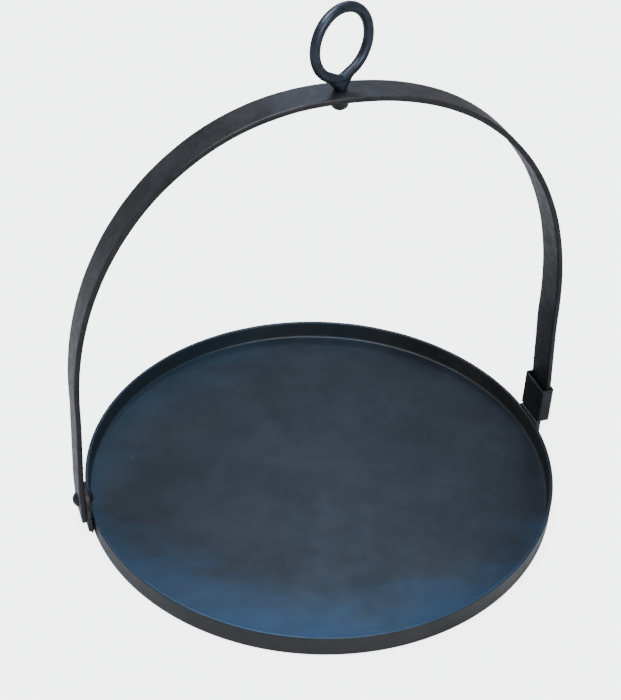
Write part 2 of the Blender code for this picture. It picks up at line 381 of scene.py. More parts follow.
@dataclass(frozen=True)
class PaintedReflection:
    """A crescent of painted blue reflection by the rim: it grows with distance from a point across the
    plate.
    """

    colour: Colour
    away_from: Point
    start: float
    end: float
    share: float
    ragged: float = 0.1
    on_walls: float = 0.0


@dataclass(frozen=True)
class SteelFinish:
    """One blackened steel: its colours, its gloss and how rough it feels."""

    name: str
    dark: Colour
    light: Colour
    worn: Colour = (0.09, 0.10, 0.115)
    cloud_size: float = 0.030
    cloud_spread: float = 0.34
    seed: float = 0.0
    metallic: float = 0.45
    rough_low: float = 0.34
    rough_high: float = 0.50
    worn_rough: float = 0.30
    wear: float = 0.6
    wear_start: float = 0.515
    wear_end: float = 0.60
    grain_size: float = 0.0011
    grain_depth: float = 0.00003
    dent_size: float = 0.016
    dent_depth: float = 0.00030
    pits: float = 0.4
    pit_shade: float = 0.35
    smear_share: float = 0.4
    dust: float = 0.0
    dust_colour: Colour = (0.16, 0.17, 0.18)
    dust_rough: float = 0.8
    specular: float = 0.4
    # Painted sky reflection: upward faces are multiplied by this blue tint.
    painted_sky_reflection: Colour = (1.0, 1.0, 1.0)
    # Crescents of painted blue reflection, placed where a lamp's reflection shows on the plate.
    painted_reflections: tuple[PaintedReflection, ...] = ()

    def material(self, groups: SharedGroups) -> Material:
        """Builds this finish as a Blender material.

        Args:
            groups: The shared node groups.

        Returns:
            The material.
        """
        material = bpy.data.materials.new(self.name)
        material.use_nodes = True
        nodes = NodeBuilder(material.node_tree)
        shader = nodes.tree.nodes["Principled BSDF"]

        def use(group: Tree, **inputs: float) -> bpy.types.Node:
            """Places a shared group with this finish's own values."""
            return nodes.add("Group", inputs, node_tree=group)

        clouds = use(groups.clouds, Size=self.cloud_size, Spread=self.cloud_spread, Seed=self.seed)
        smear_size = self.cloud_size * self.smear_share
        smears = use(groups.clouds, Size=smear_size, Spread=0.5, Seed=self.seed + 3.1)
        edges = use(groups.edges, Start=self.wear_start, End=self.wear_end, Breakup=0.7, Size=0.007)
        grain = use(groups.grain, Size=self.grain_size, Pits=self.pits)

        colour = nodes.over((*self.dark, 1), self.light, clouds.outputs["Mask"])
        up = use(groups.upward).outputs["Mask"]
        # Painted sky reflection: faces that look up are multiplied by a blue tint.
        colour = nodes.over(colour, self.painted_sky_reflection, up, "MULTIPLY")
        # Painted reflections: blue crescents on the upward faces, and on the walls as far as on_walls lets
        # them.
        for bloom in self.painted_reflections:
            x, y = bloom.away_from
            crescent = use(groups.bloom, X=x, Y=y, Start=bloom.start, End=bloom.end, Ragged=bloom.ragged)
            share = nodes.math("MULTIPLY", crescent.outputs["Mask"], bloom.share)
            lies = nodes.add("MapRange", {"Value": up, "To Min": bloom.on_walls}).outputs[0]
            share = nodes.math("MULTIPLY", share, lies)
            colour = nodes.over(colour, bloom.colour, share)
        worn = nodes.math("MULTIPLY", edges.outputs["Mask"], self.wear)
        colour = nodes.over(colour, self.worn, worn)
        pit_colour = [c * self.pit_shade for c in self.dark]
        pitted = nodes.math("MULTIPLY", grain.outputs["Pit"], self.pit_shade)
        colour = nodes.over(colour, pit_colour, pitted)
        sheen = {"Value": smears.outputs["Mask"], "To Min": self.rough_low, "To Max": self.rough_high}
        rough = nodes.add("MapRange", sheen).outputs[0]
        rough = nodes.add("Mix", {0: worn, 2: rough, 3: self.worn_rough}).outputs[0]
        if self.dust:
            motes = use(groups.dust, Size=0.011, Amount=self.dust)
            shade = nodes.math("MULTIPLY", motes.outputs["Mask"], 0.5)
            colour = nodes.over(colour, self.dust_colour, shade)
            rough = nodes.add("Mix", {0: shade, 2: rough, 3: self.dust_rough}).outputs[0]
        dents = use(groups.clouds, Size=self.dent_size, Spread=1.0, Seed=self.seed + 7.7)
        broad = {"Height": dents.outputs["Mask"], "Strength": 1.0, "Distance": self.dent_depth}
        fine = {"Height": grain.outputs["Height"], "Strength": 1.0, "Distance": self.grain_depth,
                "Normal": nodes.add("Bump", broad).outputs[0]}
        nodes.tree.links.new(colour, shader.inputs["Base Color"])
        nodes.tree.links.new(rough, shader.inputs["Roughness"])
        nodes.tree.links.new(nodes.add("Bump", fine).outputs[0], shader.inputs["Normal"])
        shader.inputs["Metallic"].default_value = self.metallic
        shader.inputs["Specular IOR Level"].default_value = self.specular
        return material


@dataclass(frozen=True)
class Finishes:
    """Every finish on the griddle, as materials."""

    pan: Material
    bar: Material
    collar: Material
    ring: Material
    rivet: Material
    weld: Material

    @classmethod
    def make(cls, pan_radius: float) -> "Finishes":
        """Mixes the finishes.

        Args:
            pan_radius: The pan's outer radius, which places the painted reflections on its plate.

        Returns:
            The materials.
        """
        groups = SharedGroups.make()
        # Painted reflections: a blue crescent toward the front of the plate, and a fainter one toward the
        # back that also colours the far rim wall.
        front = PaintedReflection(
            colour=(0.016, 0.046, 0.092), away_from=(0.18 * pan_radius, 0.41 * pan_radius),
            start=1.03 * pan_radius, end=1.46 * pan_radius, share=0.85, ragged=0.075,
        )
        back = PaintedReflection(
            colour=(0.020, 0.040, 0.062), away_from=(0.22 * pan_radius, -0.36 * pan_radius),
            start=1.06 * pan_radius, end=1.44 * pan_radius, share=0.55, on_walls=1.0,
        )
        # The plate's blue is painted: a sky reflection tint on its upward faces, plus crescents of painted
        # reflection.
        pan = SteelFinish(
            "oiled_plate_painted_blue", dark=(0.023, 0.0232, 0.0248), light=(0.037, 0.0365, 0.0375),
            cloud_size=0.055, cloud_spread=0.30, metallic=0.4,
            rough_low=0.32, rough_high=0.44, wear=0.55, wear_start=0.53, wear_end=0.62,
            grain_size=0.0008, grain_depth=0.000012, dent_size=0.045, pits=0.25, dust=0.02,
            specular=0.32, painted_sky_reflection=(0.51, 0.60, 0.74), painted_reflections=(front, back),
        )
        bar = SteelFinish(
            "oiled_black_bar", dark=(0.0145, 0.0128, 0.0152), light=(0.031, 0.0285, 0.0325),
            worn=(0.085, 0.085, 0.09), cloud_size=0.018, cloud_spread=0.36, seed=1.3,
            rough_high=0.52, wear=0.5, grain_size=0.0010, dent_size=0.014,
        )
        collar = SteelFinish(
            "oiled_black_sheet", dark=(0.013, 0.013, 0.0145), light=(0.024, 0.0245, 0.027),
            worn=(0.12, 0.125, 0.135), cloud_size=0.012, seed=2.9, rough_high=0.46, wear=0.75,
            dent_size=0.010, dent_depth=0.00018,
        )
        ring = SteelFinish(
            "oiled_blue_rod", dark=(0.016, 0.020, 0.029), light=(0.032, 0.041, 0.060),
            cloud_size=0.012, seed=4.2, metallic=0.6, rough_low=0.30,
            rough_high=0.44, wear=0.25, dent_size=0.008, dent_depth=0.00016, specular=0.5,
        )
        rivet = SteelFinish(
            "hammered_rivet", dark=(0.014, 0.015, 0.018), light=(0.030, 0.032, 0.037),
            worn=(0.12, 0.13, 0.15), cloud_size=0.006, seed=5.5, metallic=0.55, rough_low=0.28,
            rough_high=0.44, wear=0.45, dent_size=0.0035, specular=0.5,
        )
        weld = SteelFinish(
            "blackened_weld", dark=(0.016, 0.017, 0.0175), light=(0.032, 0.033, 0.033),
            worn=(0.09, 0.09, 0.09), cloud_size=0.004, seed=6.1, metallic=0.4, rough_low=0.42,
            rough_high=0.62, wear=0.35, grain_depth=0.00006, dent_size=0.003, dent_depth=0.00020,
        )
        return cls(*(finish.material(groups) for finish in (pan, bar, collar, ring, rivet, weld)))


# --- Mesh helpers ---


def arc(centre: Point, radius: float, start: float, end: float, steps: int) -> list[Point]:
    """Points of an arc in a plane.

    Args:
        centre: The arc's centre.
        radius: Its radius.
        start: Its first angle in degrees.
        end: Its last angle in degrees.
        steps: How many chords it has.

    Returns:
        The points, both ends included.
    """
    angles = [math.radians(start + (end - start) * i / steps) for i in range(steps + 1)]
    return [(centre[0] + radius * math.cos(a), centre[1] + radius * math.sin(a)) for a in angles]


def lathe(profile: Sequence[Point], steps: int) -> Mesh:
    """Spins a profile of radius and height about Z.

    Args:
        profile: Points from one pole to the other.
        steps: Segments round the turn.

    Returns:
        A closed mesh whose faces point outwards.
    """
    bm = bmesh.new()
    verts = [bm.verts.new((radius, 0, height)) for radius, height in profile]
    edges = [bm.edges.new(pair) for pair in zip(verts, verts[1:])]
    bmesh.ops.spin(
        bm, geom=verts + edges, cent=(0, 0, 0), axis=(0, 0, 1), angle=FULL_TURN, steps=steps, use_merge=True,
    )
    bmesh.ops.remove_doubles(bm, verts=bm.verts, dist=1e-7)
    bmesh.ops.recalc_face_normals(bm, faces=bm.faces)
    return bm


def round_edges(
    bm: Mesh, edges: Sequence[bmesh.types.BMEdge], width: float, segments: int
) -> None:
    """Rounds edges of a mesh.

    Args:
        bm: The mesh.
        edges: The edges to round.
        width: The rounding's radius.
        segments: Facets across it.
    """
    bmesh.ops.bevel(
        bm, geom=edges, offset=width, offset_type="OFFSET", segments=segments, profile=0.5,
        affect="EDGES", material=-1, clamp_overlap=True,
    )


def ripple(
    bm: Mesh, height: float, size: float, seed: float, where: Callable[[Vector], float] = lambda point: 1.0
) -> None:
    """Sinks points along their normals by smooth noise, as hammering leaves a surface uneven.

    Args:
        bm: The mesh.
        height: The most that a point moves.
        size: The distance from one swell to the next.
        seed: Which noise it is.
        where: How much of it a point takes, 0 to 1.
    """
    bm.normal_update()
    offset = Vector((seed, seed * 1.7, seed * 2.3))
    moves = []
    for vert in bm.verts:
        share = (noise.noise(vert.co / size + offset) - 1) / 2
        moves.append(vert.normal * (height * share * where(vert.co)))
    for vert, move in zip(bm.verts, moves):
        vert.co += move


def soften(bm: Mesh, verts: Sequence[bmesh.types.BMVert], rounds: int) -> None:
    """Evens out points between their neighbours.

    Args:
        bm: The mesh.
        verts: The points to move.
        rounds: How often.
    """
    for _ in range(rounds):
        bmesh.ops.smooth_vert(bm, verts=verts, factor=0.5, use_axis_x=True, use_axis_y=True, use_axis_z=True)


def dome(radius: float, rise: float) -> tuple[float, float]:
    """The sphere that a low rivet head is cut from.

    Args:
        radius: The head's radius at its foot.
        rise: How high it stands.

    Returns:
        The sphere's radius, and the angle in degrees at which it meets the foot.
    """
    sphere = (radius ** 2 + rise ** 2) / (2 * rise)
    return sphere, math.degrees(math.asin((sphere - rise) / sphere))


def in_scene(name: str, bm: Mesh) -> bpy.types.Object:
    """Turns a mesh under construction into an object in the scene.

    Args:
        name: Its name.
        bm: The mesh, which is freed.

    Returns:
        The object.
    """
    mesh = bpy.data.meshes.new(name)
    bm.to_mesh(mesh)
    bm.free()
    made = bpy.data.objects.new(name, mesh)
    bpy.context.scene.collection.objects.link(made)
    return made


@dataclass
class Piece:
    """A finished mesh and where it belongs."""

    name: str
    bm: Mesh
    body: Body
    slot: Slot
    material: Material
    nodes: tuple[str, ...] = ()
    sharp: float = 38.0

    def place(self) -> None:
        """Turns the mesh into an object, at the origin and unturned, that rides on its body."""
        if self.bm.calc_volume(signed=True) < 0:
            bmesh.ops.reverse_faces(self.bm, faces=self.bm.faces)
        made = in_scene(self.name, self.bm)
        made.data.shade_smooth()
        made.data.set_sharp_from_angle(angle=math.radians(self.sharp))
        made.data.materials.append(self.material)
        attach(made, self.body.value)
        if self.nodes:
            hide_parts(*self.nodes)
        LOG.info("%s: %d faces on %s", self.name, len(made.data.polygons), self.body.value)


def combined(
    first: Mesh, second: Mesh, operation: str, voxel: float = 0.0
) -> Mesh:
    """Joins or cuts two meshes, and can melt the result into one even skin.

    Args:
        first: The mesh that is kept.
        second: The mesh that joins it or cuts it.
        operation: UNION or DIFFERENCE.
        voxel: The even skin's cell, or 0 to keep the faces.

    Returns:
        The new mesh. Both inputs are freed.
    """
    body, tool = in_scene("helper", first), in_scene("helper", second)
    boolean = body.modifiers.new("join", "BOOLEAN")
    boolean.operation = operation
    boolean.object = tool
    if voxel:
        remesh = body.modifiers.new("skin", "REMESH")
        remesh.mode = "VOXEL"
        remesh.voxel_size = voxel
    bpy.context.view_layer.update()
    result = bmesh.new()
    result.from_object(body, bpy.context.evaluated_depsgraph_get())
    for helper in (body, tool):
        mesh = helper.data
        bpy.data.objects.remove(helper)
        bpy.data.meshes.remove(mesh)
    bmesh.ops.dissolve_degenerate(result, dist=0.002 * MM, edges=result.edges)
    return result


def rod(radius: float, start: Vector, end: Vector) -> Mesh:
    """A plain round cutter between two points.

    Args:
        radius: Its radius.
        start: One end's centre.
        end: The other end's centre.

    Returns:
        The closed mesh.
    """
    bm = bmesh.new()
    along = end - start
    place = Matrix.Translation((start + end) / 2) @ along.to_track_quat("Z", "Y").to_matrix().to_4x4()
    bmesh.ops.create_cone(
        bm, cap_ends=True, segments=48, radius1=radius, radius2=radius, depth=along.length, matrix=place
    )
    return bm


def block(low: Vector, high: Vector) -> Mesh:
    """A plain box between two corners, to be bevelled or to cut with.

    Args:
        low: Its lowest corner.
        high: Its highest corner.

    Returns:
        The closed mesh.
    """
    bm = bmesh.new()
    bmesh.ops.create_cube(bm, size=1.0)
    bmesh.ops.scale(bm, vec=high - low, verts=bm.verts)
    bmesh.ops.translate(bm, vec=(low + high) / 2, verts=bm.verts)
    return bm


def span(edge: bmesh.types.BMEdge, axis: int) -> float:
    """How far an edge reaches along an axis, given as 0, 1 or 2."""
    return abs(edge.verts[0].co[axis] - edge.verts[1].co[axis])


def runs_along(edge: bmesh.types.BMEdge, axis: int) -> bool:
    """Whether an edge is parallel to an axis, given as 0, 1 or 2."""
    return max(span(edge, i) for i in range(3) if i != axis) < 0.01 * MM


# --- Sub-assemblies ---


@dataclass
class GriddlePan:
    """The plate and its rim, pressed from one disc of sheet."""

    finishes: Finishes
    sheet: float = 2.5 * MM
    corner: float = 2.2 * MM
    fillet: float = 1.6 * MM
    edge: float = 0.7 * MM
    around: int = 384
    rings: int = 26
    sag: float = 0.10 * MM
    rim_wobble: float = 0.22 * MM

    def __post_init__(self) -> None:
        """Reads the pan's size from the frame."""
        _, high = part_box("griddle_pan")
        self.radius, self.height = high.x, high.z

    def profile(self) -> list[Point]:
        """The section from the middle of the plate's top, over the rim, to the middle beneath."""
        wall = self.radius - self.sheet
        flat = wall - self.fillet
        top = [(flat * i / self.rings, self.sheet) for i in range(self.rings)]
        top += arc((flat, self.sheet + self.fillet), self.fillet, 270, 360, 8)
        low, high = self.sheet + self.fillet, self.height - self.edge
        top += [(wall, low + (high - low) * i / 5) for i in range(1, 5)]
        top += arc((wall + self.edge, high), self.edge, 180, 90, 5)
        top += arc((self.radius - self.edge, high), self.edge, 90, 0, 5)
        top += [(self.radius, high + (self.corner - high) * i / 6) for i in range(1, 6)]
        top += arc((self.radius - self.corner, self.corner), self.corner, 0, -90, 8)
        under = self.radius - self.corner
        top += [(under * (1 - i / self.rings), 0) for i in range(1, self.rings + 1)]
        return top

    def shape(self, point: Vector) -> float:
        """How much of the plate's unevenness a point takes: none underneath, all on top."""
        on_plate = 0.5 * self.sheet < point.z < self.sheet + 0.2 * MM
        return 1.0 if on_plate and point.xy.length < self.radius - 2 * self.sheet else 0.0

    def build(self) -> None:
        """Builds the pan."""
        bm = lathe(self.profile(), self.around)
        ripple(bm, self.sag, 0.055, 4.0, self.shape)
        for vert in bm.verts:
            lift = (vert.co.z - 2 * self.sheet) / (self.height - 2 * self.sheet)
            if lift > 0:
                turn = vert.co.normalized() * 9
                vert.co.z -= self.rim_wobble * lift * (noise.noise(turn) + 1) / 2
        pan_steel = self.finishes.pan
        Piece("griddle_plate_and_rim", bm, Body.PAN, Slot.PAN, pan_steel, ("griddle_pan",)).place()


class FramePart:
    """A sub-assembly that takes its size from one node of the frame."""

    node: str

    def __post_init__(self) -> None:
        """Reads the node's box."""
        self.low, self.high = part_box(self.node)


@dataclass
class RimTab(FramePart):
    """A flat tab welded up the outside of the rim, with a round top about the folding axis."""

    finishes: Finishes
    node: str
    piece: str
    pivot: Vector
    hole: float
    shoulder: Optional[Point] = None
    edge: float = 0.6 * MM
    dents: float = 0.10 * MM

    def build(self) -> None:
        """Builds the tab from a box: rounds its top, eases its edges, and cuts its step and its hole."""
        bm = block(self.low, self.high)
        half = (self.high.y - self.low.y) / 2
        top = [e for e in bm.edges if runs_along(e, 0) and e.verts[0].co.z > self.pivot.z]
        round_edges(bm, top, 0.998 * half, 24)
        centre = Vector(((self.low.x + self.high.x) / 2, 0, self.pivot.z))
        along = Vector((2 * (self.high.x - self.low.x), 0, 0))
        if self.shoulder:
            step, height = self.shoulder
            low = Vector((self.low.x - step, 2 * self.low.y, height))
            high = Vector((self.low.x + step, 2 * self.high.y, 2 * self.high.z))
            bm = combined(bm, block(low, high), "DIFFERENCE")
        bm.normal_update()
        corners = [e for e in bm.edges if e.calc_face_angle(0) > 1 and not runs_along(e, 0)]
        round_edges(bm, corners, self.edge, 3)
        ripple(bm, self.dents, 0.009, 3.0)
        bm = combined(bm, rod(self.hole, centre - along, centre + along), "DIFFERENCE")
        Piece(self.piece, bm, Body.PAN, Slot.BAR, self.finishes.bar, (self.node,)).place()


@dataclass
class WeldBead(FramePart):
    """A bead of weld up one edge of a tab, laid in small overlapping ripples."""

    finishes: Finishes
    node: str
    side: Side
    towards: int
    ripples: int = 7
    around: int = 16
    valley: float = 0.86
    tip: float = 0.45
    tip_growth: float = 5.0
    lean: float = 0.35

    def rod(self) -> Mesh:
        """A round rod of radius 1 and length 1 along Z, in many short lengths."""
        bm = bmesh.new()
        levels = self.ripples * 6
        bmesh.ops.create_circle(bm, cap_ends=True, radius=1.0, segments=self.around)
        grown = list(bm.faces)
        for _ in range(levels):
            step = bmesh.ops.extrude_face_region(bm, geom=grown)["geom"]
            grown = [item for item in step if isinstance(item, bmesh.types.BMFace)]
            moved = [item for item in step if isinstance(item, bmesh.types.BMVert)]
            bmesh.ops.translate(bm, verts=moved, vec=(0, 0, 1.0 / levels))
        inner = [f for f in bm.faces if f not in grown and abs(f.normal.z) > 0.99 and len(f.verts) > 4]
        inner = [f for f in inner if f.calc_center_median().z > 1e-6]
        bmesh.ops.delete(bm, geom=inner, context="FACES_ONLY")
        return bm

    def build(self) -> None:
        """Builds the bead as a rod whose section swells and shrinks up its length."""
        bm = self.rod()
        size = self.high - self.low
        inner_x = self.low.x if self.side is Side.RIGHT else self.high.x
        inner_y = self.low.y if self.towards > 0 else self.high.y
        for vert in bm.verts:
            level = vert.co.z
            swell = self.valley + (1 - self.valley) * abs(math.sin(math.pi * self.ripples * level))
            from_tip = min(level, 1 - level)
            reach = 0.5 * swell * min(1.0, self.tip + self.tip_growth * from_tip)
            x = (0.5 + vert.co.x * reach) * size.x
            y = (0.5 + vert.co.y * reach) * size.y
            lean = self.lean * size.z / self.ripples * (vert.co.x + vert.co.y) * from_tip
            z = self.low.z + level * size.z + lean
            vert.co = Vector((inner_x + self.side.value * x, inner_y + self.towards * y, z))
        bmesh.ops.recalc_face_normals(bm, faces=bm.faces)
        name = self.node.replace("weld", "bead")
        Piece(name, bm, Body.PAN, Slot.WELD, self.finishes.weld, (self.node,), 70.0).place()


@dataclass
class PivotRivet:
    """The left pivot's rivet, headed by hammer on both sides of lug and strap."""

    finishes: Finishes
    pivot: Vector
    inside: float
    outside: float
    radius: float = 5.7 * MM
    rise: float = 3.6 * MM
    shank: float = 3.0 * MM
    edge_height: float = 0.35 * MM
    edge: float = 0.25 * MM
    dents: float = 0.28 * MM

    def head(self) -> list[Point]:
        """Profile points of a head from its top down to its edge."""
        sphere, low = dome(self.radius, self.rise)
        points = arc((0, self.rise - sphere), sphere, 90, low + EASE_ANGLE, 16)
        return points + [(self.radius, self.edge_height), (self.radius - self.edge, 0.0)]

    def build(self) -> None:
        """Builds the rivet along the folding axis."""
        length = self.outside - self.inside
        profile = [(r, length + z) for r, z in self.head()]
        profile += [(self.shank, length), (self.shank, 0.0)]
        profile += [(r, -z) for r, z in reversed(self.head())]
        bm = lathe(profile, 64)
        ripple(bm, self.dents, 0.0042, 11.0)
        turn = Matrix.Rotation(-math.pi / 2, 4, "Y")
        place = Matrix.Translation((-self.inside, 0, self.pivot.z)) @ turn
        bmesh.ops.transform(bm, matrix=place, verts=bm.verts)
        rivet = self.finishes.rivet
        Piece("left_hammered_rivet", bm, Body.PAN, Slot.RIVET, rivet, ("left_pivot_rivet",)).place()


@dataclass
class Bail:
    """The hoop: one flat bar, eased at its edges and bent over a former.

    Its feet stand straight, its legs lean in above them, and each half of the arch is a superellipse
    of its own from the top of its leg to the crown.
    """

    finishes: Finishes
    pivot: Vector
    hole: float
    swivel_hole: float
    swivel_at: float
    foot_top: float = 40.0 * MM
    leg_top: float = 108.0 * MM
    right_reach: float = 176.8 * MM
    left_reach: float = 175.5 * MM
    right_roundness: float = 2.30
    left_roundness: float = 2.09
    crown_offset: float = -3.2 * MM
    edge: float = 0.75 * MM
    stations: int = 260
    blend: int = 2
    across: int = 8
    dents: float = 0.22 * MM
    drill: float = 20.0 * MM
    foot_rise: float = 0.4 * MM

    def __post_init__(self) -> None:
        """Reads the hoop's size from the frame."""
        self.low, self.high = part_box("bail_strap")
        lug_low, lug_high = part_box("left_pivot_lug")
        self.thick = lug_high.x - lug_low.x
        self.rise = self.high.z - self.thick
        self.right_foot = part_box("locking_collar")[0].z + self.foot_rise

    def half_arch(self, reach: float, roundness: float) -> list[Vector]:
        """The inner face's line from the top of a leg to the crown.

        Args:
            reach: Where the leg's top is along X.
            roundness: The superellipse's exponent.

        Returns:
            The points, both ends included.
        """
        power, line = 2 / roundness, []
        for step in range(self.stations + 1):
            angle = math.pi / 2 * step / self.stations
            x = self.crown_offset + (reach - self.crown_offset) * math.cos(angle) ** power
            z = self.leg_top + (self.rise - self.leg_top) * math.sin(angle) ** power
            line.append(Vector((x, 0, z)))
        return line

    def stretch(self) -> list[Vector]:
        """The inner face's whole line, right foot to left foot, in even and gently blended steps."""
        right, left = self.high.x - self.thick, self.low.x + self.thick
        line = [Vector((right, 0, self.right_foot)), Vector((right, 0, self.foot_top))]
        line += self.half_arch(self.right_reach, self.right_roundness)
        line += self.half_arch(-self.left_reach, self.left_roundness)[-2::-1]
        line += [Vector((left, 0, self.foot_top)), Vector((left, 0, self.low.z))]
        lengths = [0.0, *accumulate((b - a).length for a, b in zip(line, line[1:]))]
        even = []
        for step in range(self.stations + 2):
            goal = lengths[-1] * step / (self.stations + 1)
            i = min(bisect_right(lengths, goal), len(line) - 1)
            share = (goal - lengths[i - 1]) / (lengths[i] - lengths[i - 1])
            even.append(line[i - 1].lerp(line[i], share))
        soft = list(even)
        for i in range(self.blend, len(even) - self.blend):
            soft[i] = sum(even[i - self.blend:i + self.blend + 1], Vector()) / (2 * self.blend + 1)
        return soft

    def straight_bar(self) -> Mesh:
        """The bar before bending: X runs 0 to 1 along it, Y across it and Z out from its inner face."""
        width = self.high.y - self.low.y
        bm = block(Vector((0, -width / 2, 0)), Vector((1, width / 2, self.thick)))
        across = [e for e in bm.edges if span(e, 1) > width / 2]
        bmesh.ops.subdivide_edges(bm, edges=across, cuts=self.across - 1, use_grid_fill=True)
        bm.normal_update()
        corners = [e for e in bm.edges if span(e, 0) > 0.5 and e.calc_face_angle(0) > 1]
        round_edges(bm, corners, self.edge, 4)
        lengthways = [e for e in bm.edges if span(e, 0) > 0.5]
        bmesh.ops.subdivide_edges(bm, edges=lengthways, cuts=self.stations, use_grid_fill=True)
        return bm

    def build(self) -> None:
        """Bends the bar into the hoop, dents it lightly and drills its three holes."""
        bm = self.straight_bar()
        line = self.stretch()
        for vert in bm.verts:
            share, across, out = vert.co
            i = round(share * (len(line) - 1))
            along = line[min(i + 1, len(line) - 1)] - line[max(i - 1, 0)]
            outward = Vector((along.z, 0, -along.x)).normalized()
            vert.co = line[i] + outward * out + Vector((0, across, 0))
        bmesh.ops.recalc_face_normals(bm, faces=bm.faces)
        ripple(bm, self.dents, 0.022, 2.0)
        sideways, upwards = Vector((self.drill, 0, 0)), Vector((0, 0, self.drill))
        for centre, radius, along in (
            (Vector((self.low.x, 0, self.pivot.z)), self.hole, sideways),
            (Vector((self.high.x, 0, self.pivot.z)), self.hole, sideways),
            (Vector((self.swivel_at, 0, self.rise)), self.swivel_hole, upwards),
        ):
            bm = combined(bm, rod(radius, centre - along, centre + along), "DIFFERENCE")
        Piece("bail_hoop", bm, Body.BAIL, Slot.BAR, self.finishes.bar, ("bail_strap",)).place()


@dataclass
class LockingCollar(FramePart):
    """The sleeve that slides on the bail's right leg: sheet folded round, its ends meeting outside."""

    finishes: Finishes
    node: str = "locking_collar"
    sheet: float = 1.4 * MM
    corner: float = 2.0 * MM
    lip: float = 0.35 * MM
    seam: float = 0.25 * MM
    bands: int = 14
    dents: float = 0.12 * MM

    def build(self) -> None:
        """Folds the sleeve from a box: rounds its corners, opens its ends and gives it a wall."""
        size = self.high - self.low
        middle = self.low.x + size.x / 2
        bm = block(self.low, self.high)
        upright = [e for e in bm.edges if runs_along(e, 2)]
        round_edges(bm, upright, self.corner, 8)
        bm.normal_update()
        bmesh.ops.delete(bm, geom=[f for f in bm.faces if abs(f.normal.z) > 0.9], context="FACES")
        for y in (-self.seam / 2, self.seam / 2):
            everything = bm.verts[:] + bm.edges[:] + bm.faces[:]
            bmesh.ops.bisect_plane(bm, geom=everything, plane_co=(0, y, 0), plane_no=(0, 1, 0))
        centres = [(f, f.calc_center_median()) for f in bm.faces]
        gap = [f for f, centre in centres if abs(centre.y) < self.seam / 2 and centre.x > middle]
        bmesh.ops.delete(bm, geom=gap, context="FACES")
        bmesh.ops.recalc_face_normals(bm, faces=bm.faces)
        bmesh.ops.solidify(bm, geom=bm.faces[:], thickness=self.sheet)
        bmesh.ops.recalc_face_normals(bm, faces=bm.faces)
        bm.normal_update()
        lips = [
            e for e in bm.edges
            if len(e.link_faces) == 2 and e.calc_face_angle(0) > 1 and span(e, 2) < 0.1 * MM
        ]
        round_edges(bm, lips, self.lip, 3)
        tall = [e for e in bm.edges if span(e, 2) > size.z / 2]
        bmesh.ops.subdivide_edges(bm, edges=tall, cuts=self.bands, use_grid_fill=True)
        ripple(bm, self.dents, 0.012, 8.0)
        collar = self.finishes.collar
        Piece("folded_collar", bm, Body.COLLAR, Slot.COLLAR, collar, (self.node,)).place()


